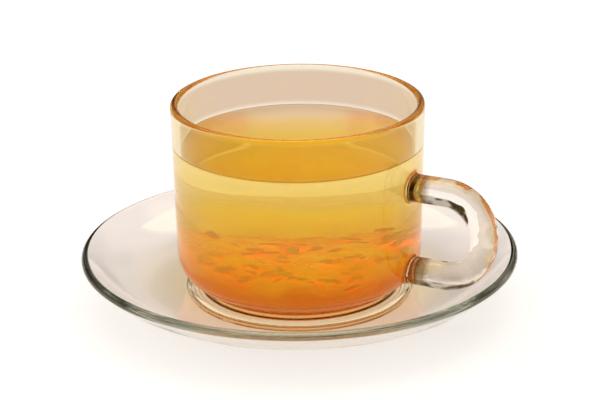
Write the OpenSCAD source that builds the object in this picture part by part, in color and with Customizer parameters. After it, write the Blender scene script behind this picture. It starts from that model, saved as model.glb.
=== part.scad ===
// Glass cup of tea on its glass saucer. The cup has one D-shaped handle along +X.
// Origin: centre of the saucer's foot ring, on the ground. +Z is up.

/* [Saucer] */
// Diameter over the rim
saucer_d = 143; // [130:1:160]
// Height from the ground to the top of the rim
saucer_h = 17; // [15:0.5:21]
// Thickness of the pressed glass
saucer_wall = 2.8; // [2.2:0.1:3.4]
// Width of the level land between the well and the curved border
land_w = 7; // [3:0.5:12]
// Depth of the round well that the cup stands in
well_depth = 1.6; // [0.8:0.1:2.2]
// Width of the sloping side of the well
well_slope_w = 2.4; // [1.6:0.1:4]
// Height of the foot ring under the floor
ring_h = 1.3; // [0.8:0.1:2.5]
// Width of the foot ring
ring_w = 3.4; // [2.4:0.1:5]

/* [Cup] */
// Outer diameter just under the rim
cup_d = 82; // [74:1:90]
// Height of the cup alone
cup_h = 63.2; // [55:0.1:72]
// How much narrower the straight wall is at the shoulder than at the rim
cup_taper = 2.2; // [0:0.1:5]
// Thickness of the wall
cup_wall = 2.7; // [2:0.1:3.4]
// Thickness of the floor under the drink, measured from where the cup stands
cup_floor = 4.6; // [3.4:0.1:6]
// Radius of the shoulder that turns the wall in to the foot
shoulder_r = 10; // [6:0.5:12]
// Slope of the shoulder where it reaches the foot, in degrees
shoulder_slope = 18; // [5:1:30]
// Diameter of the foot
foot_d = 66; // [58:1:68]
// Height of the foot at its outer edge
foot_h = 3; // [2:0.1:4]
// Width of the flat ring that the cup stands on
foot_ring_w = 3.6; // [2.5:0.1:6]
// Depth of the hollow inside that ring
foot_hollow = 1; // [0.5:0.1:1.8]
// Clearance all round between the foot and the saucer's well
foot_clearance = 1; // [0.5:0.1:2]

/* [Handle] */
// Distance from the cup's axis to the outermost point of the handle
handle_reach = 69.2; // [64:0.1:71]
// Height of the upper bar's middle above the cup's foot
handle_top = 39.6; // [36:0.1:44]
// Height of the lower bar's middle above the cup's foot
handle_bottom = 11.4; // [10.5:0.1:14]
// Thickness of the glass bar, in the plane of the handle
handle_t = 8.4; // [6:0.1:9]
// Width of the glass bar, across the handle
handle_w = 10.2; // [9.2:0.1:13]
// Radius of both bends, at the middle of the bar
bend_r = 13; // [10:0.5:13.5]
// Radius of the fillet where the bars run into the wall
root_fillet = 1.6; // [0.8:0.1:2.4]

/* [Drink] */
// Free height between the tea and the rim
tea_gap = 14; // [8:0.5:25]
// Depth of the dense orange layer at the bottom
pulp_depth = 6; // [3:0.5:12]

/* [Hidden] */
$fn = 96;
// Turn between two points of a rounded corner, in degrees
arc_step = 5;
// Largest share of its room that a rounding fills, so that no side shrinks to nothing
fill = 0.98;

// Heights in the saucer
floor_under_z = ring_h;
floor_z = floor_under_z + saucer_wall;
land_z = floor_z + well_depth;
land_under_z = floor_under_z + well_depth;
// Radii in the saucer
saucer_r = saucer_d / 2;
foot_r = foot_d / 2;
well_r = foot_r + foot_clearance;
land_start_r = well_r + well_slope_w;
land_r = land_start_r + land_w;
ring_mid_r = (well_r + land_start_r) / 2;
// The border follows one arc, level at the land and steepest at the rim
border_run = saucer_r - saucer_wall / 2 - land_r;
border_rise = saucer_h - saucer_wall / 2 - (land_z + land_under_z) / 2;
border_angle = 2 * atan(border_rise / border_run);
border_r = border_run / sin(border_angle);
border_top_r = border_r - saucer_wall / 2;
border_under_r = border_r + saucer_wall / 2;
border_dir = [cos(border_angle), sin(border_angle)];
border_normal = [-sin(border_angle), cos(border_angle)];
rim_mid = [saucer_r - saucer_wall / 2, saucer_h - saucer_wall / 2];
rim_fillet = fill * saucer_wall / 2;
// How far the foot draws in below the shoulder
neck_inset = 0.6;
// Radius where the level floor inside the cup starts to rise to the shoulder
cavity_soft_r = 6;
// Small fillets on pressed glass
soft_r = 0.8;
ring_soft_r = 1.2;
step_soft_r = 1.6;

// Places in the cup
cup_z = floor_z;
rim_z = cup_z + cup_h;
cup_r = cup_d / 2;
wall_foot_r = cup_r - cup_taper / 2;
neck_z = cup_z + foot_h;
neck_r = foot_r - neck_inset;
shoulder_z = neck_z + (wall_foot_r - neck_r) * tan(shoulder_slope);
shoulder_room = (wall_foot_r - neck_r) / cos(shoulder_slope);
shoulder_fit_r = min(shoulder_r, fill * shoulder_room / tan((90 - shoulder_slope) / 2));
cavity_floor_z = cup_z + cup_floor;
cavity_r = cup_r - cup_wall;
cavity_foot_r = wall_foot_r - cup_wall;
// Inside, the shoulder keeps the wall's thickness down to the level floor
cavity_neck_z = neck_z + cup_wall / cos(shoulder_slope);
cavity_flat_r = neck_r - (cavity_neck_z - cavity_floor_z) / tan(shoulder_slope);
cavity_rise_z = cavity_floor_z + (cavity_foot_r - cavity_flat_r) * tan(shoulder_slope);
cavity_room = (cavity_foot_r - cavity_flat_r) / cos(shoulder_slope);
cavity_corner_r = min(shoulder_r - cup_wall / 2, fill * fill * cavity_room / tan((90 - shoulder_slope) / 2));
lip_r = fill * cup_wall / 2;
hollow_r = foot_r - foot_ring_w;

// Places in the handle
bar_x = foot_r;
bend_x = handle_reach - handle_t / 2 - bend_r;
top_z = cup_z + handle_top;
bottom_z = cup_z + handle_bottom;
section_offset = (handle_w - handle_t) / 2;
fillet_x = wall_foot_r;

// Places in the drink
tea_z = rim_z - tea_gap;
pulp_z = cavity_floor_z + pulp_depth;

function unit(v) = v / norm(v);
function turn(v, w) = atan2(v.x * w.y - v.y * w.x, v * w);

// Arc that rounds the corner at b, between the straight sides to a and to c
function corner_arc(a, b, c, radius) =
    let (
        to_a = unit(a - b),
        to_c = unit(c - b),
        half = acos(to_a * to_c) / 2,
        centre = b + unit(to_a + to_c) * radius / sin(half),
        first = b + to_a * radius / tan(half) - centre,
        last = b + to_c * radius / tan(half) - centre,
        sweep = turn(first, last),
        start = atan2(first.y, first.x),
        steps = max(2, ceil(abs(sweep) / arc_step))
    )
    [for (i = [0:steps]) centre + radius * [cos(start + sweep * i / steps), sin(start + sweep * i / steps)]];

// Closed outline from corners, each [radius from the axis, height, fillet]
function outline(corners) =
    let (count = len(corners), at = [for (k = corners) [k.x, k.y]])
    [for (i = [0:count - 1])
        each corners[i].z == 0
            ? [at[i]]
            : corner_arc(at[(i + count - 1) % count], at[i], at[(i + 1) % count], corners[i].z)];

// Corner where a level line at height z, ending at land_r, meets the border's end tangent
function border_corner(z, radius) = [land_r + radius * tan(border_angle / 2), z, fill * radius];

// End of the border, side = 1 for the top face and -1 for the underside
function rim_corner(side) =
    let (p = rim_mid + side * saucer_wall / 2 * border_normal + saucer_wall / 2 * border_dir)
    [p.x, p.y, rim_fillet];

module saucer() {
    color("gainsboro")
    rotate_extrude()
    polygon(outline([
        [0, floor_z, 0],
        [well_r, floor_z, step_soft_r],
        [land_start_r, land_z, step_soft_r],
        border_corner(land_z, border_top_r),
        rim_corner(1),
        rim_corner(-1),
        border_corner(land_under_z, border_under_r),
        [ring_mid_r + ring_w / 2, land_under_z, soft_r],
        [ring_mid_r + ring_w / 2, 0, ring_soft_r],
        [ring_mid_r - ring_w / 2, 0, ring_soft_r],
        [ring_mid_r - ring_w / 2, floor_under_z, soft_r / 2],
        [0, floor_under_z, 0]
    ]));
}

// Inside of the cup up to height z, or a surface that far out in the glass
function cavity_r_at(z) = cavity_foot_r + (cavity_r - cavity_foot_r) * (z - shoulder_z) / (rim_z - shoulder_z);
function cavity_corners(z, out = 0) = [
    [0, cavity_floor_z - out, 0],
    [cavity_flat_r, cavity_floor_z - out, cavity_soft_r],
    [cavity_r_at(cavity_rise_z) + out, cavity_rise_z - out, cavity_corner_r],
    [cavity_r_at(z) + out, z, 0],
    [0, z, 0]
];

module cup_body_outline() {
    polygon(outline([
        [0, cup_z + foot_hollow, 0],
        [hollow_r, cup_z + foot_hollow, soft_r / 2],
        [hollow_r, cup_z, soft_r / 2],
        [foot_r, cup_z, soft_r],
        [neck_r, neck_z, 0],
        [wall_foot_r, shoulder_z, shoulder_fit_r],
        [cup_r, rim_z, lip_r],
        [cavity_r, rim_z, lip_r],
        cavity_corners(rim_z)[2],
        cavity_corners(rim_z)[1],
        [0, cavity_floor_z, 0]
    ]));
}

// Rounded cross-section of the handle, its thickness along X
module bar_section() {
    for (side = [-1, 1])
        translate([0, side * section_offset])
        circle(d = handle_t);
    square([handle_t, 2 * section_offset], center = true);
}

module bar(z) {
    translate([bar_x, 0, z])
    rotate([0, 90, 0])
    linear_extrude(bend_x - bar_x)
    bar_section();
}

// Quarter bend that leaves the upright stretch at height z, side = 1 up and -1 down
module bend(z, side) {
    translate([bend_x, 0, z])
    rotate([90, 0, 0])
    rotate([0, 0, side > 0 ? 0 : -90])
    rotate_extrude(angle = 90)
    translate([bend_r, 0])
    bar_section();
}

// Fillet round the end of a bar, as if turned about the rounded sides of its section
module root_outline() {
    reach = root_fillet + fillet_x - bar_x;
    difference() {
        square([handle_t / 2 + root_fillet, reach]);
        translate([handle_t / 2 + root_fillet, reach])
        circle(root_fillet);
    }
}

module root(z) {
    translate([bar_x, 0, z])
    rotate([0, 90, 0]) {
        for (side = [-1, 1])
            translate([0, side * section_offset, 0])
            rotate_extrude()
            root_outline();
        for (flip = [0, 1])
            mirror([flip, 0, 0])
            rotate([90, 0, 0])
            linear_extrude(2 * section_offset, center = true)
            root_outline();
    }
}

// The bars start inside the cup and are cut off along the middle of its wall
module handle() {
    upright_top = top_z - bend_r;
    upright_bottom = bottom_z + bend_r;
    difference() {
        for (z = [top_z, bottom_z]) {
            bar(z);
            root(z);
        }
        rotate_extrude()
        polygon(outline(cavity_corners(rim_z, cup_wall / 2)));
    }
    bend(upright_top, 1);
    bend(upright_bottom, -1);
    translate([bend_x + bend_r, 0, upright_bottom])
    linear_extrude(upright_top - upright_bottom)
    bar_section();
}

module cup() {
    color("whitesmoke")
    union() {
        rotate_extrude()
        cup_body_outline();
        handle();
    }
}

// Slice of the drink between two heights, out to the cup's inside
module drink(low_z, high_z) {
    rotate_extrude()
    intersection() {
        polygon(outline(cavity_corners(tea_z)));
        translate([0, low_z])
        square([cup_r, high_z - low_z]);
    }
}

module pulp_layer() {
    color("darkorange")
    drink(cavity_floor_z, pulp_z);
}

module tea() {
    color("gold")
    drink(pulp_z, tea_z);
}

saucer();
cup();
pulp_layer();
tea();
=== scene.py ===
"""Looks of the glass cup of tea.

Fine meshes of the glass, the drink and the fruit in it, their materials, the stage, the lights and the
camera. All of it is in metres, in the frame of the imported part.
"""
import math

import bmesh
import bpy
import numpy as np
from mathutils import Matrix, Vector, noise


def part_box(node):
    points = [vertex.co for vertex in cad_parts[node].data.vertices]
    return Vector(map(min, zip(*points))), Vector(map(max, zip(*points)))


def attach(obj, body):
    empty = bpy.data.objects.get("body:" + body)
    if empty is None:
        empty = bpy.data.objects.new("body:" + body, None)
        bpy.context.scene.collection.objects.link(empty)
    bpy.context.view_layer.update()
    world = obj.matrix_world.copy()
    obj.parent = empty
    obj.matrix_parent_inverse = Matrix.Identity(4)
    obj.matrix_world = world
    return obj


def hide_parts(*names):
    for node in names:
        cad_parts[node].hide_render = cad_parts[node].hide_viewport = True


MM = 0.001

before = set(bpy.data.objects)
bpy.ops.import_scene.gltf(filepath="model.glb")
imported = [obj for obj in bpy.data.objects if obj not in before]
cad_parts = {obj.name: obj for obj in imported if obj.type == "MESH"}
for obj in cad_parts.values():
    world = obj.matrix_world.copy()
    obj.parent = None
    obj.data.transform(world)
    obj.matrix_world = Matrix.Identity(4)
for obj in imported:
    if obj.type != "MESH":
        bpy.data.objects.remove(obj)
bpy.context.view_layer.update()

# ---------------------------------------------------------------- sizes, from the frame where it gives them
saucer_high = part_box("saucer")[1]
cup_low, cup_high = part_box("cup")
pulp_low, pulp_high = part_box("pulp_layer")
tea_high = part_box("tea")[1]

SAUCER_R = saucer_high.x
SAUCER_H = saucer_high.z
SAUCER_WALL = 2.8 * MM
RING_H = 1.3 * MM
RING_W = 3.4 * MM
WELL_DEPTH = 1.6 * MM
WELL_SLOPE_W = 2.4 * MM
LAND_W = 7 * MM
SOFT_R = 0.8 * MM

CUP_Z = cup_low.z
RIM_Z = cup_high.z
CUP_R = 41 * MM
CUP_TAPER = 2.2 * MM
CUP_WALL = 2.7 * MM
SHOULDER_R = 10 * MM
SHOULDER_SLOPE = math.radians(18)
FOOT_R = 33 * MM
FOOT_H = 3 * MM
FOOT_RING_W = 3.6 * MM
FOOT_HOLLOW = 1 * MM
FOOT_CLEARANCE = 1 * MM
NECK_INSET = 0.6 * MM
NECK_SOFT_R = 0.3 * MM
CAVITY_FLOOR_Z = pulp_low.z
CAVITY_SOFT_R = 6 * MM

HANDLE_REACH = cup_high.x
HANDLE_TOP_Z = CUP_Z + 39.6 * MM
HANDLE_BOTTOM_Z = CUP_Z + 11.4 * MM
HANDLE_T = 8.4 * MM
HANDLE_W = 10.2 * MM
BEND_R = 13 * MM
ROOT_FILLET = 1.6 * MM

PULP_Z = pulp_high.z
TEA_Z = tea_high.z

# the side that the photo shows, as a direction from the cup's axis
CAMERA_AZIMUTH = math.radians(27)
FRONT = (math.sin(CAMERA_AZIMUTH), -math.cos(CAMERA_AZIMUTH), 0)

# ---------------------------------------------------------------- outlines
FILL = 0.98  # share of the room between two corners that their arcs may take
ARC_STEP = math.radians(4)
LONGEST_STEP = 3 * MM


def unit(v):
    return v / np.linalg.norm(v)


def corner_arc(a, b, c, radius):
    """Arc that rounds the corner at b, between the straight sides to a and to c."""
    to_a, to_c = unit(a - b), unit(c - b)
    half = math.acos(np.clip(to_a @ to_c, -1, 1)) / 2
    centre = b + unit(to_a + to_c) * radius / math.sin(half)
    first = b + to_a * radius / math.tan(half) - centre
    last = b + to_c * radius / math.tan(half) - centre
    sweep = math.atan2(first[0] * last[1] - first[1] * last[0], first @ last)
    start = math.atan2(first[1], first[0])
    steps = max(3, math.ceil(abs(sweep) / ARC_STEP))
    angles = [start + sweep * i / steps for i in range(steps + 1)]
    return [centre + radius * np.array([math.cos(a), math.sin(a)]) for a in angles]


def outline(corners):
    """Open line of points from corners (distance from the axis, height, fillet), each fillet an arc."""
    at = [np.array(c[:2]) for c in corners]
    line = []
    for i, corner in enumerate(corners):
        if corner[2] == 0:
            line.append(at[i])
        else:
            line += corner_arc(at[i - 1], at[i], at[i + 1], corner[2])
    return np.array(line)


def even_steps(line, longest=LONGEST_STEP):
    """The same line with long straight stretches cut into shorter ones."""
    out = [line[0]]
    for a, b in zip(line[:-1], line[1:]):
        parts = max(1, math.ceil(np.linalg.norm(b - a) / longest))
        out += [a + (b - a) * k / parts for k in range(1, parts + 1)]
    return np.array(out)


# ---------------------------------------------------------------- meshes
SEGMENTS = 240


def new_object(name, verts, faces, material, smooth=True):
    mesh = bpy.data.meshes.new(name)
    mesh.from_pydata([tuple(v) for v in verts], [], [tuple(int(i) for i in f) for f in faces])
    bm = bmesh.new()
    bm.from_mesh(mesh)
    bmesh.ops.recalc_face_normals(bm, faces=bm.faces)
    bm.to_mesh(mesh)
    bm.free()
    if smooth:
        mesh.polygons.foreach_set("use_smooth", [True] * len(mesh.polygons))
    mesh.update()
    mesh.materials.append(material)
    obj = bpy.data.objects.new(name, mesh)
    bpy.context.scene.collection.objects.link(obj)
    return obj


def lathe(line, segments=SEGMENTS):
    """Mesh turned about the axis from a line that starts and ends on it.

    Returns the vertices, the faces by row and column, and the first vertex of each ring.
    """
    verts = [(0.0, 0.0, line[0][1])]
    ring_start = []
    angles = 2 * math.pi * np.arange(segments) / segments
    for r, z in line[1:-1]:
        ring_start.append(len(verts))
        verts += [(r * math.cos(a), r * math.sin(a), z) for a in angles]
    verts.append((0.0, 0.0, line[-1][1]))
    end = len(verts) - 1
    faces = {}
    first, last = ring_start[0], ring_start[-1]
    for k in range(segments):
        n = (k + 1) % segments
        faces["start", k] = (0, first + n, first + k)
        faces["end", k] = (end, last + k, last + n)
        for j, (a, b) in enumerate(zip(ring_start[:-1], ring_start[1:])):
            faces[j, k] = (a + k, a + n, b + n, b + k)
    return verts, faces, ring_start


# ---------------------------------------------------------------- saucer
WELL_R = FOOT_R + FOOT_CLEARANCE
FLOOR_Z = RING_H + SAUCER_WALL
LAND_START_R = WELL_R + WELL_SLOPE_W
LAND_R = LAND_START_R + LAND_W
LAND_Z = FLOOR_Z + WELL_DEPTH
LAND_UNDER_Z = RING_H + WELL_DEPTH
RING_MID_R = (WELL_R + LAND_START_R) / 2


def saucer_line():
    """The saucer's section: the well, the land, the curved border and back along the underside."""
    half = SAUCER_WALL / 2
    run = SAUCER_R - half - LAND_R
    rise = SAUCER_H - half - (LAND_Z + LAND_UNDER_Z) / 2
    angle = 2 * math.atan(rise / run)
    border_r = run / math.sin(angle)
    along = np.array([math.cos(angle), math.sin(angle)])
    normal = np.array([-along[1], along[0]])
    rim = np.array([SAUCER_R - half, SAUCER_H - half])
    upper = rim + half * normal + half * along
    under = rim - half * normal + half * along

    def border(z, radius):
        return (LAND_R + radius * math.tan(angle / 2), z, FILL * radius)

    return outline([
        (0, FLOOR_Z, 0),
        (WELL_R, FLOOR_Z, 2 * SOFT_R),
        (LAND_START_R, LAND_Z, 2 * SOFT_R),
        border(LAND_Z, border_r - half),
        (*upper, FILL * half),
        (*under, FILL * half),
        border(LAND_UNDER_Z, border_r + half),
        (RING_MID_R + RING_W / 2, LAND_UNDER_Z, SOFT_R),
        (RING_MID_R + RING_W / 2, 0, 1.5 * SOFT_R),
        (RING_MID_R - RING_W / 2, 0, 1.5 * SOFT_R),
        (RING_MID_R - RING_W / 2, RING_H, SOFT_R / 2),
        (0, RING_H, 0),
    ])


def make_saucer(material):
    verts, faces, _ = lathe(even_steps(saucer_line()))
    return new_object("saucer_glass", verts, faces.values(), material)


# ---------------------------------------------------------------- cup with its handle
WALL_FOOT_R = CUP_R - CUP_TAPER / 2
NECK_R = FOOT_R - NECK_INSET
NECK_Z = CUP_Z + FOOT_H
SHOULDER_Z = NECK_Z + (WALL_FOOT_R - NECK_R) * math.tan(SHOULDER_SLOPE)

# The handle grows out of two patches of the outer wall. Each patch is a hole of so many rows and columns,
# joined to the bar by the rings of an apron along the wall and then by those of a fillet. Up the wall, the
# stretches are below the lower patch, that patch, between the two, the upper patch, and up to the lip.
PATCH_HALF_H = 8.5 * MM
PATCH_ROWS = 24
PATCH_COLS = 20
STRETCH_ROWS = (2, PATCH_ROWS, 8, PATCH_ROWS, 8)
LOWER_PATCH, UPPER_PATCH = 1, 3
APRON_RINGS = 6
FILLET_RINGS = 8
WALL_STEP = 0.2 * MM
LOWEST_PATCH_EDGE = 0.8 * MM
BAR_STEPS = 4
BEND_STEPS = 22


def cavity_r_at(z):
    low, high = WALL_FOOT_R - CUP_WALL, CUP_R - CUP_WALL
    return low + (high - low) * (z - SHOULDER_Z) / (RIM_Z - SHOULDER_Z)


def cavity_corners(z, out=0.0):
    """Corners of the cup's inside from the axis to height z, or of a surface that far out in the glass."""
    foot_r = WALL_FOOT_R - CUP_WALL
    neck_z = NECK_Z + CUP_WALL / math.cos(SHOULDER_SLOPE)
    flat_r = NECK_R - (neck_z - CAVITY_FLOOR_Z) / math.tan(SHOULDER_SLOPE)
    rise_z = CAVITY_FLOOR_Z + (foot_r - flat_r) * math.tan(SHOULDER_SLOPE)
    return [
        (0, CAVITY_FLOOR_Z - out, 0),
        (flat_r, CAVITY_FLOOR_Z - out, CAVITY_SOFT_R),
        (cavity_r_at(rise_z) + out, rise_z - out, SHOULDER_R - CUP_WALL / 2),
        (cavity_r_at(z) + out, z, 0),
    ]


def cup_line():
    """The cup's section: under the foot, up the outside, over the lip and down the inside."""
    lip_r = FILL * CUP_WALL / 2
    return outline([
        (0, CUP_Z + FOOT_HOLLOW, 0),
        (FOOT_R - FOOT_RING_W, CUP_Z + FOOT_HOLLOW, SOFT_R / 2),
        (FOOT_R - FOOT_RING_W, CUP_Z, SOFT_R / 2),
        (FOOT_R, CUP_Z, SOFT_R),
        (NECK_R, NECK_Z, NECK_SOFT_R),
        (WALL_FOOT_R, SHOULDER_Z, SHOULDER_R),
        (CUP_R, RIM_Z, lip_r),
        (CUP_R - CUP_WALL, RIM_Z, lip_r),
        *reversed(cavity_corners(RIM_Z)[:3]),
    ])


def split_cup_line():
    """The cup's section in three: the bottom, the outer wall from the neck to the lip, and the rest."""
    line = cup_line()
    past_neck = (line[:, 1] > NECK_Z + WALL_STEP) & (line[:, 0] > NECK_R)
    start = int(np.argmax(past_neck))
    end = int(np.argmax(line[:, 1] > RIM_Z - CUP_WALL))
    return even_steps(line[:start]), even_steps(line[start:end + 1], WALL_STEP), even_steps(line[end:])


def wall_r(wall, z):
    return float(np.interp(z, wall[:, 1], wall[:, 0]))


def wall_rows(wall):
    """Rows of the outer wall, spaced evenly in each stretch, and the first row of each stretch."""
    along = np.concatenate([[0], np.cumsum(np.linalg.norm(np.diff(wall, axis=0), axis=1))])
    marks = [0.0]
    for centre in (HANDLE_BOTTOM_Z, HANDLE_TOP_Z):
        for edge in (centre - PATCH_HALF_H, centre + PATCH_HALF_H):
            marks.append(max(LOWEST_PATCH_EDGE, float(np.interp(edge, wall[:, 1], along))))
    marks.append(along[-1])
    places, starts = [0.0], []
    for a, b, n in zip(marks[:-1], marks[1:], STRETCH_ROWS):
        starts.append(len(places) - 1)
        places += [a + (b - a) * k / n for k in range(1, n + 1)]
    rows = [[np.interp(place, along, wall[:, i]) for i in (0, 1)] for place in places[:-1]]
    return np.array(rows), starts


def open_patch(faces, ring_start, first_row, flip):
    """Take a patch out of the wall, and return the vertices round the hole.

    The walk starts on the side that faces the other patch, so that the two holes' vertices match along the
    handle. With flip -1, for the lower patch, that is its top row.
    """
    half = PATCH_COLS // 2
    for j in range(first_row, first_row + PATCH_ROWS):
        for k in range(-half, half):
            del faces[j, k % SEGMENTS]
    walk = [(c, 0) for c in range(PATCH_COLS)]
    walk += [(PATCH_COLS, r) for r in range(PATCH_ROWS)]
    walk += [(PATCH_COLS - c, PATCH_ROWS) for c in range(PATCH_COLS)]
    walk += [(0, PATCH_ROWS - r) for r in range(PATCH_ROWS)]
    loop = []
    for col, row in walk:
        row = PATCH_ROWS - row if flip < 0 else row
        loop.append(ring_start[first_row + row] + (col - half) % SEGMENTS)
    return loop


def section_directions(hole, centre):
    """Directions from the bar's middle to its section's points, one for each vertex round the upper hole."""
    scale = np.array([hole[:, 1].max(), PATCH_HALF_H])
    angle = np.arctan2((hole[:, 2] - centre) / scale[1], hole[:, 1] / scale[0])
    directions = np.stack([np.cos(angle), np.sin(angle)], 1) * scale
    return directions / np.linalg.norm(directions, axis=1)[:, None]


def bar_outline(directions):
    """Points of the bar's section, across and thick: two half rounds with a short flat between them."""
    half_t, flat = HANDLE_T / 2, (HANDLE_W - HANDLE_T) / 2
    points = []
    for c, s in directions:
        if s != 0 and half_t * abs(c) / abs(s) <= flat:
            points.append((half_t * c / abs(s), math.copysign(half_t, s)))
        else:
            reach = flat * abs(c) + math.sqrt(half_t**2 - (flat * s) ** 2)
            points.append((reach * c, reach * s))
    return np.array(points)


def add_ring(verts, points):
    """Add the points to the vertices and return their numbers."""
    first = len(verts)
    verts.extend(points)
    return list(range(first, len(verts)))


def grow_root(verts, wall, loop, directions, centre, flip):
    """Rings from a hole in the wall to the start of the bar: along the wall, then up the fillet."""
    at = np.array([verts[i] for i in loop])
    across = np.arctan2(at[:, 1], at[:, 0])
    section = bar_outline(directions)
    foot = section + ROOT_FILLET * directions
    foot_z = centre + flip * foot[:, 1]
    foot_angle = np.array([math.asin(y / wall_r(wall, z)) for y, z in zip(foot[:, 0], foot_z)])
    rings = [loop]
    for k in range(1, APRON_RINGS + 1):
        t = k / APRON_RINGS
        ring = []
        for a, z in zip(across + (foot_angle - across) * t, at[:, 2] + (foot_z - at[:, 2]) * t):
            r = wall_r(wall, z)
            ring.append((r * math.cos(a), r * math.sin(a), z))
        rings.append(add_ring(verts, ring))
    foot_x = np.array([verts[i][0] for i in rings[-1]])
    level = foot_x.max() + ROOT_FILLET
    for k in range(1, FILLET_RINGS + 1):
        t = k / FILLET_RINGS
        turn = math.pi / 2 * k / FILLET_RINGS
        offset = ROOT_FILLET * (1 - math.sin(turn))
        rise = ROOT_FILLET * (1 - math.cos(turn))
        shape = section + offset * directions
        x = foot_x + rise + (level - foot_x - ROOT_FILLET) * t**2
        rings.append(add_ring(verts, zip(x, shape[:, 0], centre + flip * shape[:, 1])))
    return rings


def bar_path(x_top, x_bottom):
    """Middle of the bar from the upper root to the lower one: x, z and how far it has turned."""
    bend_x = HANDLE_REACH - HANDLE_T / 2 - BEND_R
    upper, lower = HANDLE_TOP_Z - BEND_R, HANDLE_BOTTOM_Z + BEND_R
    path = [(x_top + (bend_x - x_top) * k / BAR_STEPS, HANDLE_TOP_Z, 0.0) for k in range(1, BAR_STEPS + 1)]
    for k in range(1, BEND_STEPS + 1):
        a = math.pi / 2 * k / BEND_STEPS
        path.append((bend_x + BEND_R * math.sin(a), upper + BEND_R * math.cos(a), a))
    path.append((bend_x + BEND_R, (upper + lower) / 2, math.pi / 2))
    for k in range(BEND_STEPS + 1):
        a = math.pi / 2 * (1 + k / BEND_STEPS)
        path.append((bend_x + BEND_R * math.sin(a), lower + BEND_R * math.cos(a), a))
    for k in range(1, BAR_STEPS):
        path.append((bend_x + (x_bottom - bend_x) * k / BAR_STEPS, HANDLE_BOTTOM_Z, math.pi))
    return path


def make_cup(material):
    below, wall, above = split_cup_line()
    rows, starts = wall_rows(wall)
    verts, faces, ring_start = lathe(np.vstack([below, rows, above]))
    wall_start = len(below) - 1  # rings leave out the point on the axis
    lower_hole = open_patch(faces, ring_start, wall_start + starts[LOWER_PATCH], -1)
    upper_hole = open_patch(faces, ring_start, wall_start + starts[UPPER_PATCH], 1)

    directions = section_directions(np.array([verts[i] for i in upper_hole]), HANDLE_TOP_Z)
    upper_root = grow_root(verts, wall, upper_hole, directions, HANDLE_TOP_Z, 1)
    lower_root = grow_root(verts, wall, lower_hole, directions, HANDLE_BOTTOM_Z, -1)

    section = bar_outline(directions)
    rings = list(upper_root)
    for x, z, a in bar_path(verts[upper_root[-1][0]][0], verts[lower_root[-1][0]][0]):
        ring = [(x + thick * math.sin(a), y, z + thick * math.cos(a)) for y, thick in section]
        rings.append(add_ring(verts, ring))
    rings += reversed(lower_root)
    for a, b in zip(rings[:-1], rings[1:]):
        for m in range(len(a)):
            n = (m + 1) % len(a)
            faces["handle", a[m], b[m]] = (a[m], a[n], b[n], b[m])
    return new_object("cup_glass", verts, faces.values(), material)


# ---------------------------------------------------------------- drink
REACH_IN_WALL = 0.15 * MM
LAST_ROW_H = 0.2 * MM
MENISCUS_H = 0.4 * MM
MENISCUS_W = 0.7 * MM
MENISCUS_STEPS = 12
LEVEL_Z = TEA_Z - MENISCUS_H * 0.2

PULP_GAP = 0.1 * MM
PULP_STEP = 0.5 * MM
PULP_RELIEF = 3.2 * MM
PULP_DEEPEST_DIP = 4 * MM
PULP_STILL_H = 4.5 * MM  # how far below the pulp's level its side still follows its top
HEAP_SCALE = 55
GRAIN_SCALE = 190
GRAIN_SHARE = 0.4

STRAND_COUNT = 85
STRAND_SEED = 7
STRAND_SIDES = 8
STRAND_STEPS = 12
# lengths, thicknesses and height over the pulp in mm, the section's width and height in thicknesses, and
# the spreads of the fibre's turns in radians
STRAND_LENGTHS = (3, 9)
STRAND_THICKNESSES = (0.4, 0.9)
STRAND_HIGHEST = 2.5
STRAND_FLATTENING = (1.6, 0.6)
STRAND_TILT = 0.18
STRAND_CURL = 0.16
STRAND_WOBBLE = 0.12
STRAND_SPREAD_R = 33 * MM
STRAND_LIMIT_R = 35.5 * MM


def tea_line():
    """Side of the drink just inside the glass, then its level with the small rise at the wall."""
    inside = outline(cavity_corners(TEA_Z, REACH_IN_WALL))
    edge_r = inside[-1][0]
    # a short last row keeps the side's smooth shading true up to the edge
    top = [(edge_r, TEA_Z - LAST_ROW_H)]
    for k in range(MENISCUS_STEPS + 1):
        back = 5 * MENISCUS_W * (k / MENISCUS_STEPS) ** 2
        top.append((edge_r - back, LEVEL_Z + MENISCUS_H * math.exp(-back / MENISCUS_W)))
    return np.vstack([inside[:-1], top, [(0, LEVEL_Z)]])


def make_tea(material):
    verts, faces, _ = lathe(even_steps(tea_line(), 4 * MM))
    return new_object("tea_body", verts, faces.values(), material)


def pulp_top(x, y):
    """Height of the settled pulp's uneven top: broad heaps with a finer grain."""
    heaps = noise.fractal(Vector((x * HEAP_SCALE, y * HEAP_SCALE, 3.0)), 1.0, 2.0, 3)
    grain = noise.fractal(Vector((x * GRAIN_SCALE, y * GRAIN_SCALE, 8.0)), 1.0, 2.0, 3)
    return PULP_Z + max(-PULP_DEEPEST_DIP, PULP_RELIEF * heaps + GRAIN_SHARE * PULP_RELIEF * grain)


def make_pulp(material):
    """The settled layer: its side follows the top's edge up and down along the cup's wall."""
    inside = outline(cavity_corners(TEA_Z, -PULP_GAP))
    inside = inside[np.argmax(inside[:, 0] > 0):]
    side = inside[inside[:, 1] < PULP_Z]
    edge = (np.interp(PULP_Z, inside[:, 1], inside[:, 0]), PULP_Z)
    line = even_steps(np.vstack([(0, inside[0][1]), side, edge, (0, PULP_Z)]), PULP_STEP)
    flat, faces, _ = lathe(line)
    still = PULP_Z - PULP_STILL_H
    verts = []
    for x, y, z in flat:
        r, a = math.hypot(x, y), math.atan2(y, x)
        if z > still:
            z = still + (z - still) * (pulp_top(x, y) - still) / (PULP_Z - still)
            r = min(r, float(np.interp(z, inside[:, 1], inside[:, 0])))
        verts.append((r * math.cos(a), r * math.sin(a), z))
    return new_object("pulp_body", verts, faces.values(), material)


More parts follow.
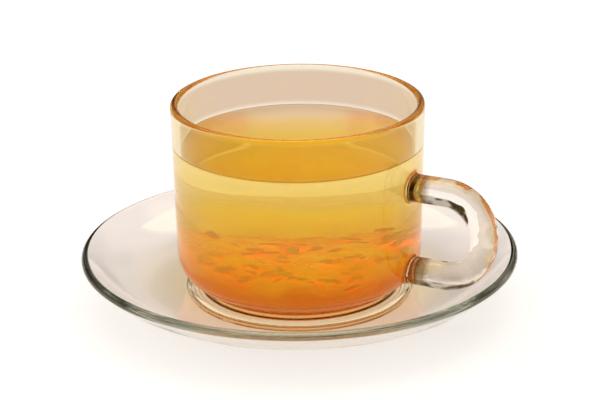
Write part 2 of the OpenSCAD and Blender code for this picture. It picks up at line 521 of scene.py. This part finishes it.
def strand_rings(rng):
    """Rings of one thin bent fibre that lies just above the pulp, thickest in its middle."""
    length = rng.uniform(*STRAND_LENGTHS) * MM
    thick = rng.uniform(*STRAND_THICKNESSES) * MM
    r, a = STRAND_SPREAD_R * math.sqrt(rng.uniform(0.02, 1)), rng.uniform(0, 2 * math.pi)
    x, y = r * math.cos(a), r * math.sin(a)
    z = pulp_top(x, y) + min(STRAND_HIGHEST, rng.exponential(1.0)) * MM
    heading, tilt, curl = rng.uniform(0, 2 * math.pi), rng.normal(0, STRAND_TILT), rng.normal(0, STRAND_CURL)
    wide, flat = STRAND_FLATTENING
    rings = []
    for k in range(STRAND_STEPS + 1):
        t = k / STRAND_STEPS
        size = thick * math.sqrt(max(0.02, 1 - (2 * t - 1) ** 2))
        side = Vector((-math.sin(heading), math.cos(heading)))
        ring = []
        for turn in 2 * math.pi * np.arange(STRAND_SIDES) / STRAND_SIDES:
            across, up = wide * size * math.cos(turn), flat * size * math.sin(turn)
            ring.append((x + side.x * across, y + side.y * across, z + up))
        rings.append(ring)
        heading += curl + rng.normal(0, STRAND_WOBBLE)
        x += math.cos(heading) * length / STRAND_STEPS
        y += math.sin(heading) * length / STRAND_STEPS
        z += math.sin(tilt) * length / STRAND_STEPS
        # no fibre leaves the tea
        out = max(1, math.hypot(x, y) / STRAND_LIMIT_R)
        x, y = x / out, y / out
    return rings


def make_strands(material):
    rng = np.random.default_rng(STRAND_SEED)
    verts, faces = [], []
    for _ in range(STRAND_COUNT):
        rings = [add_ring(verts, ring) for ring in strand_rings(rng)]
        for a, b in zip(rings[:-1], rings[1:]):
            for m in range(STRAND_SIDES):
                n = (m + 1) % STRAND_SIDES
                faces.append((a[m], a[n], b[n], b[m]))
        faces.append(rings[0][::-1])
        faces.append(rings[-1])
    return new_object("fruit_strands", verts, faces, material)


# ---------------------------------------------------------------- nodes
class Tree:
    """A node tree, with one method for each kind of node that the looks are made of."""

    def __init__(self, owner):
        owner.use_nodes = True
        self.nodes = owner.node_tree.nodes
        self.links = owner.node_tree.links

    def connect(self, value, socket):
        """Link the socket to another node's output, or set it to a number, a direction or a colour."""
        if isinstance(value, bpy.types.NodeSocket):
            self.links.new(value, socket)
        elif socket.type == "RGBA":
            socket.default_value = (*value, 1)
        else:
            socket.default_value = value

    def add(self, kind, inputs, output=0, **settings):
        """New node with its settings and inputs, and one of its outputs as the result."""
        node = self.nodes.new("ShaderNode" + kind)
        for name, value in settings.items():
            setattr(node, name, value)
        for name, value in inputs.items():
            self.connect(value, node.inputs[name])
        return node.outputs[output]

    def place(self, stretch=(1, 1, 1)):
        """Place on the object, in metres, stretched along its axes."""
        return self.add("Mapping", {"Vector": self.add("TexCoord", {}, "Object"), "Scale": stretch})

    def noise(self, vector, scale, detail=3, roughness=0.5, distortion=0):
        inputs = {"Vector": vector, "Scale": scale, "Detail": detail, "Roughness": roughness}
        return self.add("TexNoise", {**inputs, "Distortion": distortion}, "Fac")

    def ramp(self, value, stops):
        """Colour read off the stops (place, colour)."""
        node = self.nodes.new("ShaderNodeValToRGB")
        band = node.color_ramp
        for element, (position, colour) in zip(band.elements, (stops[0], stops[-1])):
            element.position, element.color = position, (*colour, 1)
        for position, colour in stops[1:-1]:
            band.elements.new(position).color = (*colour, 1)
        self.connect(value, node.inputs["Fac"])
        return node.outputs["Color"]

    def maths(self, operation, *values):
        return self.add("Math", dict(enumerate(values)), operation=operation)

    def vary(self, value, field, amount):
        """The value moved up and down by a field, by that amount over the field's whole range."""
        lowered = self.maths("SUBTRACT", value, amount / 2)
        return self.maths("MULTIPLY_ADD", field, amount, lowered)

    def between(self, value, low, high, to_low=0, to_high=1):
        """The value's share of the way from low to high, held at the ends."""
        inputs = {"Value": value, "From Min": low, "From Max": high, "To Min": to_low, "To Max": to_high}
        return self.add("MapRange", inputs)

    def blend(self, share, a, b, mode="MIX"):
        """Colour a where share is 0 and b where it is 1, or another blend of the two."""
        inputs = {"Factor": share, "A": a, "B": b}
        return self.add("Mix", inputs, "Result", data_type="RGBA", blend_type=mode)

    def towards_front(self, vector):
        """How far the vector reaches towards the side that the photo shows."""
        return self.add("VectorMath", {0: vector, 1: FRONT}, "Value", operation="DOT_PRODUCT")


class Surface(Tree):
    """A material with one surface shader."""

    def __init__(self, name):
        self.material = bpy.data.materials.new(name)
        super().__init__(self.material)

    def set(self, **inputs):
        """Set or link the shader's inputs, with _ for each space in their names."""
        shader = self.nodes["Principled BSDF"]
        for name, value in inputs.items():
            self.connect(value, shader.inputs[name.replace("_", " ")])

    def absorb(self, colour, density):
        absorption = self.add("VolumeAbsorption", {"Color": colour, "Density": density})
        self.connect(absorption, self.nodes["Material Output"].inputs["Volume"])

    def bump(self, height, distance):
        self.set(Normal=self.add("Bump", {"Height": height, "Distance": distance, "Strength": 1}))

    def height(self):
        return self.add("SeparateXYZ", {0: self.place()}, "Z")

    def from_axis(self):
        return self.add("VectorMath", {0: self.place((1, 1, 0))}, "Value", operation="LENGTH")


# ---------------------------------------------------------------- looks, colours in linear red, green, blue
GLASS_IOR = 1.5
GLASS_SHEEN = (1, 0.84, 0.26)
WAVE_DEPTH = 0.05 * MM

SAUCER_THICK = (0.52, 0.62, 0.46)
SAUCER_DENSITY = 9
# painted light: gold from the drink that shows in the saucer near the cup, painted into its colour
SAUCER_PAINTED_GOLD_LIGHT = (0.97, 0.80, 0.50)
SAUCER_BORDER = (0.90, 0.82, 0.76)

CUP_THICK = (0.86, 0.71, 0.34)
CUP_DENSITY = 18
CUP_BESIDE_TEA = (0.92, 0.87, 0.80)
# painted shade: above the tea the glass is painted peach for the room's light and shade seen through it,
# darker on the far side and lighter, golder on the near side
CUP_PAINTED_SHADE_FAR = (0.66, 0.53, 0.41)
CUP_PAINTED_SHADE_NEAR = (0.82, 0.70, 0.40)
# painted light: the drink's gold shining through the foot, painted into its colour
CUP_FOOT_PAINTED_GOLD_LIGHT = (0.96, 0.80, 0.46)
CUP_LIP = (0.89, 0.88, 0.74)
# painted shade: dark at the handle's roots, where refraction shows the dark room, then clear glass further
# out
HANDLE_PAINTED_ROOT_SHADE = [
    (0.00, (0.22, 0.15, 0.07)),
    (0.36, (0.24, 0.16, 0.08)),
    (0.58, (0.94, 0.90, 0.84)),
    (1.00, (0.95, 0.92, 0.88)),
]
# how far out from the wall the painted shade at the roots reaches
HANDLE_ROOT_SHADE_W = 8 * MM
HANDLE_LUMPS = 30

TEA_IOR = 1.333
TEA_SHEEN = (1, 0.80, 0.12)
# painted glow: the drink gives off a little light, though no lamp is in it
TEA_GLOW = (1, 0.60, 0.06)
TEA_GLOW_STRENGTH = 0.05
TEA_THICK = (0.985, 0.93, 0.35)
TEA_DENSITY = 11
TEA_FROM_BOTTOM = [
    (0.00, (1.00, 0.30, 0.001)),
    (0.13, (1.00, 0.38, 0.002)),
    (0.22, (1.00, 0.60, 0.006)),
    (0.33, (1.00, 0.82, 0.03)),
    (0.50, (1.00, 0.91, 0.32)),
    (1.00, (1.00, 0.925, 0.74)),
]
# painted light: the top's colour, pale at the back and deep gold at the front, for how light through the
# drink shows
TEA_TOP_PAINTED_LIGHT_FROM_BACK = [
    (0.05, (0.94, 0.80, 0.62)),
    (0.14, (0.94, 0.77, 0.54)),
    (0.24, (0.92, 0.67, 0.28)),
    (0.42, (0.92, 0.65, 0.16)),
    (0.56, (0.96, 0.66, 0.06)),
    (0.80, (0.98, 0.68, 0.02)),
    (1.00, (0.98, 0.62, 0.015)),
]
TEA_TOP_CLEARNESS = 0.38
TEA_SIDE_CLEARNESS = (0.70, 0.94)
TEA_CLEARING = (0.36, 0.75)

# painted glow: the pulp gives off light, standing in for light that the glass and drink keep from it
PULP_GLOW = (1, 0.29, 0)
PULP_GLOW_STRENGTH = 0.42
FIBRE_DEPTH = 0.4 * MM
FRUIT_SHINE = 0.05
PULP_TONES = [
    (0.15, (0.98, 0.27, 0.001)),
    (0.45, (0.98, 0.38, 0.001)),
    (0.70, (1.00, 0.55, 0.004)),
    (0.92, (1.00, 0.82, 0.040)),
]
# painted glow: the strands give off light, standing in for light that reaches them through the drink
STRAND_GLOW = (1, 0.38, 0)
STRAND_GLOW_STRENGTH = 0.14
STRAND_TONES = [
    (0.25, (0.92, 0.38, 0.001)),
    (0.60, (0.95, 0.48, 0.002)),
    (0.95, (1.00, 0.70, 0.030)),
]

FLOOR_TONE = (0.40, 0.385, 0.37)
FLOOR_GLOW = (1, 0.97, 0.93)
FLOOR_GLOW_STRENGTH = 0.7

# the room that glass mirrors: its tone by height, times its patches, times the dark side behind the camera
ROOM_BY_HEIGHT = [
    (0.00, (0.70, 0.66, 0.62)),
    (0.12, (0.42, 0.38, 0.34)),
    (0.55, (0.42, 0.38, 0.34)),
    (0.95, (0.90, 0.88, 0.86)),
]
ROOM_PATCHES = [
    (0.42, (0.05, 0.04, 0.03)),
    (0.50, (0.7, 0.7, 0.7)),
    (0.60, (1.9, 1.9, 1.9)),
]
ROOM_BEHIND_CAMERA = [
    (0, (1, 1, 1)),
    (1, (0.12, 0.1, 0.09)),
]
ROOM_WHITE = (1, 0.985, 0.97)
ROOM_STRENGTH = 0.72


# ---------------------------------------------------------------- materials
def glass(name, thick, density):
    """Clear glass whose tint grows with its thickness."""
    surface = Surface(name)
    surface.set(IOR=GLASS_IOR, Roughness=0, Transmission_Weight=1, Specular_Tint=GLASS_SHEEN)
    surface.absorb(thick, density)
    return surface


def mould_waves(surface):
    """The soft waves that pressing leaves in the glass."""
    return surface.noise(surface.place((1, 1, 0.6)), scale=55, detail=2)


def saucer_glass():
    """The saucer, its colour painted gold round the cup's foot for the drink's light that shows there."""
    surface = glass("saucer_glass", SAUCER_THICK, SAUCER_DENSITY)
    away = surface.between(surface.from_axis(), 36 * MM, 56 * MM)
    # painted light: gold near the cup, fading into the border's tint
    surface.set(Base_Color=surface.ramp(away, [(0, SAUCER_PAINTED_GOLD_LIGHT), (1, SAUCER_BORDER)]))
    surface.bump(mould_waves(surface), WAVE_DEPTH)
    return surface.material


def cup_glass():
    """Warm where tea stands behind it, painted peach shade above the tea that is darker on the far side,
    painted gold light in the foot, and clear in the handle but for painted shade at its roots.
    """
    surface = glass("cup_glass", CUP_THICK, CUP_DENSITY)
    height = surface.height()
    away = surface.from_axis()
    nearer = surface.between(surface.towards_front(surface.place()), -30 * MM, 30 * MM)
    above_tea = surface.between(height, TEA_Z - 0.5 * MM, TEA_Z + 1.5 * MM)
    in_foot = surface.between(height, CAVITY_FLOOR_Z + 1 * MM, CAVITY_FLOOR_Z - 1.5 * MM)
    in_lip = surface.between(height, RIM_Z - 2.5 * MM, RIM_Z - 1 * MM)
    in_handle = surface.between(away, CUP_R + 0.2 * MM, CUP_R + 0.8 * MM)

    # painted shade above the tea, darker on the far side
    painted_shade_above_tea = surface.ramp(nearer, [(0, CUP_PAINTED_SHADE_FAR), (1, CUP_PAINTED_SHADE_NEAR)])
    # painted shade at the handle's roots
    handle = surface.ramp(surface.between(away, CUP_R, CUP_R + HANDLE_ROOT_SHADE_W), HANDLE_PAINTED_ROOT_SHADE)
    tint = surface.blend(above_tea, CUP_BESIDE_TEA, painted_shade_above_tea)
    # painted gold light in the foot
    tint = surface.blend(in_foot, tint, CUP_FOOT_PAINTED_GOLD_LIGHT)
    tint = surface.blend(in_lip, tint, CUP_LIP)
    surface.set(Base_Color=surface.blend(in_handle, tint, handle))

    # the pressed handle is lumpier than the wall
    lumps = surface.noise(surface.place((1, 0.5, 1)), scale=130, detail=1)
    lumps = surface.maths("MULTIPLY", lumps, surface.maths("MULTIPLY", in_handle, HANDLE_LUMPS))
    surface.bump(surface.maths("ADD", lumps, mould_waves(surface)), WAVE_DEPTH)
    return surface.material


def tea_material():
    """Cloudy tea: pale gold above and orange where the fruit has settled, with a gold, cloudier surface
    painted paler at the back and deeper gold at the front for the light through it, and a faint painted
    glow.
    """
    surface = Surface("golden_tea")
    height = surface.height()
    clouds = surface.noise(surface.place((1, 1, 2.6)), scale=42, detail=4, roughness=0.55, distortion=0.8)
    wisps = surface.noise(surface.place((1, 1, 3.5)), scale=120, roughness=0.6, distortion=1.6)
    level = surface.between(height, CAVITY_FLOOR_Z, TEA_Z)
    level = surface.vary(surface.vary(level, clouds, 0.24), wisps, 0.10)
    nearer = surface.between(surface.towards_front(surface.place()), -38 * MM, 38 * MM)
    nearer = surface.vary(nearer, clouds, 0.16)
    on_top = surface.between(height, TEA_Z - 0.20 * MM, TEA_Z - 0.10 * MM)

    side = surface.ramp(level, TEA_FROM_BOTTOM)
    # painted light: paler at the back, deeper gold at the front
    top = surface.ramp(nearer, TEA_TOP_PAINTED_LIGHT_FROM_BACK)
    # light that cloudy tea scatters back hides most of the pulp from above, and softens it from the side
    side_clearness = surface.between(level, *TEA_CLEARING, *TEA_SIDE_CLEARNESS)
    to_top = surface.maths("SUBTRACT", TEA_TOP_CLEARNESS, side_clearness)
    clearness = surface.maths("ADD", side_clearness, surface.maths("MULTIPLY", to_top, on_top))

    surface.set(Base_Color=surface.blend(on_top, side, top), Transmission_Weight=clearness)
    surface.set(IOR=TEA_IOR, Roughness=0, Specular_Tint=TEA_SHEEN)
    # painted glow
    surface.set(Emission_Color=TEA_GLOW, Emission_Strength=TEA_GLOW_STRENGTH)
    surface.absorb(TEA_THICK, TEA_DENSITY)
    return surface.material


def pulp_material():
    """Fine orange pulp in clumps, yellower towards its top, with a painted glow."""
    surface = Surface("orange_pulp")
    clumps = surface.noise(surface.place(), scale=160, detail=4, roughness=0.6, distortion=1.2)
    # half as strong again about the middle
    stronger = surface.maths("MULTIPLY_ADD", clumps, 1.5, -0.25)
    broad = surface.noise(surface.place(), scale=70, detail=2, distortion=0.6)
    tone = surface.vary(stronger, broad, 1.0)
    share = surface.between(surface.height(), PULP_Z - 6 * MM, PULP_Z + 4 * MM, -0.4, 0.6)
    surface.set(Base_Color=surface.ramp(surface.maths("ADD", share, tone), PULP_TONES))
    surface.set(Roughness=0.7, Specular_IOR_Level=FRUIT_SHINE)
    # painted glow
    surface.set(Emission_Color=PULP_GLOW, Emission_Strength=PULP_GLOW_STRENGTH)
    fibres = surface.noise(surface.place((1, 1, 2)), scale=700, roughness=0.6, distortion=0.6)
    surface.bump(fibres, FIBRE_DEPTH)
    return surface.material


def strand_material():
    """Shreds of fruit, orange deep in the drink and golden higher up, with a painted glow."""
    surface = Surface("fruit_strands")
    tone = surface.noise(surface.place(), scale=240, detail=2)
    share = surface.between(surface.height(), PULP_Z - 4 * MM, PULP_Z + 8 * MM, -0.4, 0.5)
    surface.set(Base_Color=surface.ramp(surface.maths("ADD", share, tone), STRAND_TONES))
    surface.set(Roughness=0.6, Specular_IOR_Level=FRUIT_SHINE)
    # painted glow
    surface.set(Emission_Color=STRAND_GLOW, Emission_Strength=STRAND_GLOW_STRENGTH)
    return surface.material


def floor_material():
    """A pale floor that glows a little, like a light table."""
    surface = Surface("pale_floor")
    surface.set(Base_Color=FLOOR_TONE, Roughness=0.9)
    surface.set(Emission_Color=FLOOR_GLOW, Emission_Strength=FLOOR_GLOW_STRENGTH)
    return surface.material


# ---------------------------------------------------------------- build
saucer = make_saucer(saucer_glass())
cup = make_cup(cup_glass())
tea = make_tea(tea_material())
pulp = make_pulp(pulp_material())
strands = make_strands(strand_material())

for piece, node, slot in (
    (saucer, "saucer", "saucer_glass"),
    (cup, "cup", "cup_glass"),
    (tea, "tea", "golden_tea"),
    (pulp, "pulp_layer", "orange_pulp"),
    (strands, None, "orange_pulp"),
):
    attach(piece, "root")
    if node:
        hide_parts(node)

# ---------------------------------------------------------------- stage, lights and camera
FLOOR_INNER_R = 0.5
FLOOR_OUTER_R = 1.6
FLOOR_T = 1 * MM

CAMERA_ELEVATION = math.radians(20.56)
CAMERA_ROLL = math.radians(0.77)
CAMERA_DISTANCE = 700 * MM
CAMERA_LENS = 128.7
CAMERA_SENSOR = 36
TARGET_RIGHT = 0.41 * MM
TARGET_Z = 33.01 * MM
LIT_Z = 30 * MM

front = Vector(FRONT)
right = Vector((math.cos(CAMERA_AZIMUTH), math.sin(CAMERA_AZIMUTH), 0))
up = Vector((0, 0, 1))


def make_stage():
    line = [(0, 0), (FLOOR_INNER_R, 0), (FLOOR_OUTER_R, 0), (FLOOR_OUTER_R + 0.01, 0), (0, -FLOOR_T)]
    verts, faces, _ = lathe(np.array(line), 96)
    floor = new_object("floor", verts, faces.values(), floor_material(), smooth=False)


def make_room():
    """Even white light on matt things; glass mirrors a darker room that brightens overhead."""
    world = bpy.data.worlds.new("studio")
    tree = Tree(world)
    world.cycles.sampling_method = "NONE"
    direction = tree.add("TexCoord", {}, "Generated")
    seen = tree.ramp(tree.add("SeparateXYZ", {0: direction}, "Z"), ROOM_BY_HEIGHT)
    patches = tree.ramp(tree.noise(direction, scale=2.4, detail=1), ROOM_PATCHES)
    seen = tree.blend(1, seen, patches, "MULTIPLY")
    behind_camera = tree.between(tree.towards_front(direction), -0.4, 0.5)
    seen = tree.blend(1, seen, tree.ramp(behind_camera, ROOM_BEHIND_CAMERA), "MULTIPLY")
    after_matt = tree.maths("GREATER_THAN", tree.add("LightPath", {}, "Diffuse Depth"), 0.5)
    plain = tree.maths("MAXIMUM", after_matt, tree.add("LightPath", {}, "Is Camera Ray"))
    background = tree.nodes["Background"]
    tree.connect(tree.blend(plain, seen, ROOM_WHITE), background.inputs["Color"])
    background.inputs["Strength"].default_value = ROOM_STRENGTH
    bpy.context.scene.world = world


def area_light(name, offset, width, length, power):
    target = LIT_Z * up
    data = bpy.data.lights.new(name, "AREA")
    data.shape = "RECTANGLE"
    data.size = width
    data.size_y = length
    data.energy = power
    light = bpy.data.objects.new(name, data)
    light.location = target + offset
    light.rotation_mode = "QUATERNION"
    light.rotation_quaternion = (-offset).to_track_quat("-Z", "Y")
    bpy.context.scene.collection.objects.link(light)


def make_camera():
    data = bpy.data.cameras.new("camera")
    data.lens = CAMERA_LENS
    data.sensor_width = CAMERA_SENSOR
    camera = bpy.data.objects.new("camera", data)
    back = front * math.cos(CAMERA_ELEVATION) + up * math.sin(CAMERA_ELEVATION)
    target = right * TARGET_RIGHT + up * TARGET_Z
    camera.location = target + back * CAMERA_DISTANCE
    camera.rotation_mode = "QUATERNION"
    level = (-back).to_track_quat("-Z", "Y")
    camera.rotation_quaternion = level @ Matrix.Rotation(-CAMERA_ROLL, 3, "Z").to_quaternion()
    bpy.context.scene.collection.objects.link(camera)
    bpy.context.scene.camera = camera


make_stage()
make_room()
area_light("top", up * 0.95 - front * 0.35, width=1.2, length=0.9, power=5)
area_light("left", front * 0.15 - right * 0.8 + up * 0.35, width=0.2, length=0.7, power=0.8)
make_camera()

scene = bpy.context.scene
scene.view_settings.view_transform = "Standard"
scene.cycles.max_bounces = 48
scene.cycles.diffuse_bounces = 16
scene.cycles.transmission_bounces = 48
scene.cycles.transparent_max_bounces = 24
scene.cycles.glossy_bounces = 24
